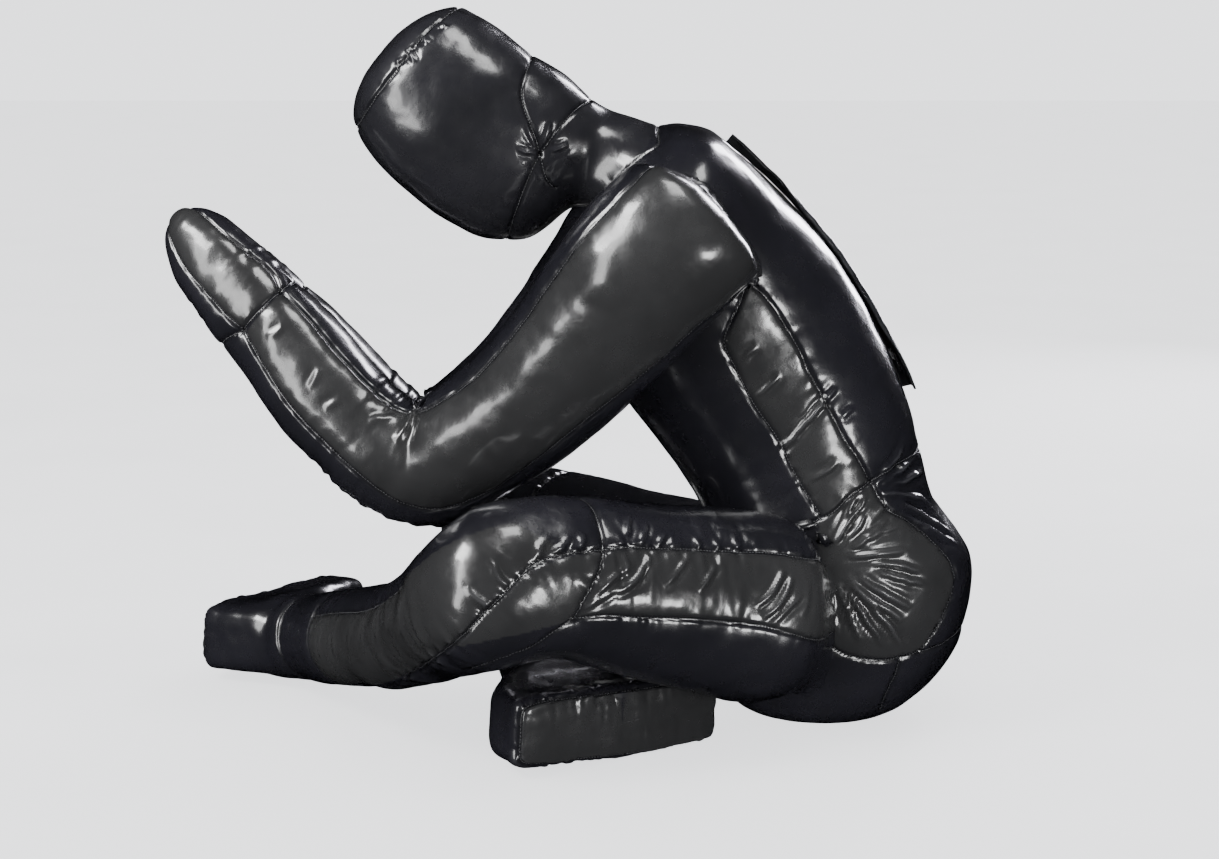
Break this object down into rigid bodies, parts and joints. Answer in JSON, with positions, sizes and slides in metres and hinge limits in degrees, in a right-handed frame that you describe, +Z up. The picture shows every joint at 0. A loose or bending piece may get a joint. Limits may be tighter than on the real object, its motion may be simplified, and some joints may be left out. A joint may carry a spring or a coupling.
{
  "type": "grappling dummy",
  "caption": "Full-size grappling dummy in glossy black vinyl, stuffed, sitting cross-legged and leaning forward over its knees, forearms raised, and a covered zip down the back.",
  "frame": {"origin": "middle of the bounding box on the floor under the seat", "axes": "+X is the dummy's own left, -Y is the way it faces, +Z is up"},
  "size_m": [0.7205, 0.9153, 0.8125],
  "materials": {
    "vinyl": "glossy black coated vinyl, soft and puckered along its stitched seams",
    "stuffing": "packed textile shreds in a woven inner bag, matt grey",
    "zip_tape": "woven black zip tape, matt",
    "zip_teeth": "moulded black zip teeth, satin",
    "zip_metal": "plated zip slider and pull, worn bright at the edges"
  },
  "bodies": {
    "pelvis": {"pelvis_fill": "stuffing", "seat_cover": "vinyl", "waist_fill": "stuffing"},
    "torso": {"torso_fill": "stuffing", "front_panel": "vinyl", "left_side_panel": "vinyl", "right_side_panel": "vinyl", "back_left_panel": "vinyl", "back_right_panel": "vinyl", "neck_fill": "stuffing", "zip_tape_left": "zip_tape", "zip_tape_right": "zip_tape", "zip_teeth": "zip_teeth", "zip_flap": "vinyl"},
    "head": {"head_fill": "stuffing", "neck_cover": "vinyl", "face_cover": "vinyl", "head_left_cover": "vinyl", "head_right_cover": "vinyl", "crown_cover": "vinyl"},
    "slider": {"zip_slider": "zip_metal"},
    "pull_tab": {"zip_pull": "zip_metal"},
    "left_upper_arm": {"left_upper_arm_fill": "stuffing", "left_upper_arm_cover": "vinyl"},
    "left_forearm": {"left_forearm_fill": "stuffing", "left_forearm_cover": "vinyl"},
    "left_hand": {"left_hand_fill": "stuffing", "left_hand_palm": "vinyl", "left_hand_back": "vinyl"},
    "left_thigh": {"left_thigh_fill": "stuffing", "left_thigh_cover": "vinyl"},
    "left_shin": {"left_shin_fill": "stuffing", "left_shin_cover": "vinyl"},
    "left_foot": {"left_foot_fill": "stuffing", "left_foot_sole": "vinyl", "left_foot_boxing": "vinyl", "left_foot_upper": "vinyl"},
    "right_upper_arm": {"right_upper_arm_fill": "stuffing", "right_upper_arm_cover": "vinyl"},
    "right_forearm": {"right_forearm_fill": "stuffing", "right_forearm_cover": "vinyl"},
    "right_hand": {"right_hand_fill": "stuffing", "right_hand_palm": "vinyl", "right_hand_back": "vinyl"},
    "right_thigh": {"right_thigh_fill": "stuffing", "right_thigh_cover": "vinyl"},
    "right_shin": {"right_shin_fill": "stuffing", "right_shin_cover": "vinyl"},
    "right_foot": {"right_foot_fill": "stuffing", "right_foot_sole": "vinyl", "right_foot_boxing": "vinyl", "right_foot_upper": "vinyl"}
  },
  "joints": [
    {"name": "waist", "type": "hinge", "parent": "pelvis", "child": "torso", "pos_m": [0, 0.278, 0.268], "axis": [-1, 0, 0], "range_deg": [-2, 15]},
    {"name": "neck", "type": "hinge", "parent": "torso", "child": "head", "pos_m": [0, 0.074, 0.623], "axis": [-1, 0, 0], "range_deg": [-12, 20]},
    {"name": "left_shoulder", "type": "hinge", "parent": "torso", "child": "left_upper_arm", "pos_m": [0.197, 0.118, 0.587], "axis": [1, 0, 0], "range_deg": [-20, 4]},
    {"name": "left_elbow", "type": "hinge", "parent": "left_upper_arm", "child": "left_forearm", "pos_m": [0.115, -0.164, 0.314], "axis": [1, 0, 0], "range_deg": [-8, 55]},
    {"name": "left_wrist", "type": "hinge", "parent": "left_forearm", "child": "left_hand", "pos_m": [0.072, -0.356, 0.47], "axis": [1, 0, 0], "range_deg": [-25, 25]},
    {"name": "left_hip", "type": "hinge", "parent": "pelvis", "child": "left_thigh", "pos_m": [0.112, 0.27, 0.143], "axis": [0, 0, 1], "range_deg": [-3, 20]},
    {"name": "left_knee", "type": "hinge", "parent": "left_thigh", "child": "left_shin", "pos_m": [0.287, -0.092, 0.236], "axis": [-0.4473, 0.0135, 0.8943], "range_deg": [-5, 80]},
    {"name": "left_ankle", "type": "hinge", "parent": "left_shin", "child": "left_foot", "pos_m": [-0.1, -0.33, 0.046], "axis": [0, 0, 1], "range_deg": [-15, 15]},
    {"name": "right_shoulder", "type": "hinge", "parent": "torso", "child": "right_upper_arm", "pos_m": [-0.197, 0.108, 0.574], "axis": [1, 0, 0], "range_deg": [-20, 4]},
    {"name": "right_elbow", "type": "hinge", "parent": "right_upper_arm", "child": "right_forearm", "pos_m": [-0.11, -0.172, 0.285], "axis": [1, 0, 0], "range_deg": [-8, 50]},
    {"name": "right_wrist", "type": "hinge", "parent": "right_forearm", "child": "right_hand", "pos_m": [-0.066, -0.364, 0.452], "axis": [1, 0, 0], "range_deg": [-25, 25]},
    {"name": "right_hip", "type": "hinge", "parent": "pelvis", "child": "right_thigh", "pos_m": [-0.112, 0.27, 0.128], "axis": [0, 0, -1], "range_deg": [-3, 12]},
    {"name": "right_knee", "type": "hinge", "parent": "right_thigh", "child": "right_shin", "pos_m": [-0.2865, -0.118, 0.17], "axis": [-0.2791, 0.0216, -0.96], "range_deg": [-2, 5]},
    {"name": "right_ankle", "type": "hinge", "parent": "right_shin", "child": "right_foot", "pos_m": [0.15, -0.078, 0.044], "axis": [0, 0, -1], "range_deg": [-15, 4]},
    {"name": "zip_slide", "type": "hinge", "parent": "torso", "child": "slider", "pos_m": [0, -0.208, 0.1655], "axis": [1, 0, 0], "range_deg": [0, 25]},
    {"name": "zip_pull_hinge", "type": "hinge", "parent": "slider", "child": "pull_tab", "pos_m": [0, 0.3659, 0.421], "axis": [1, 0, 0], "range_deg": [0, 5]}
  ]
}
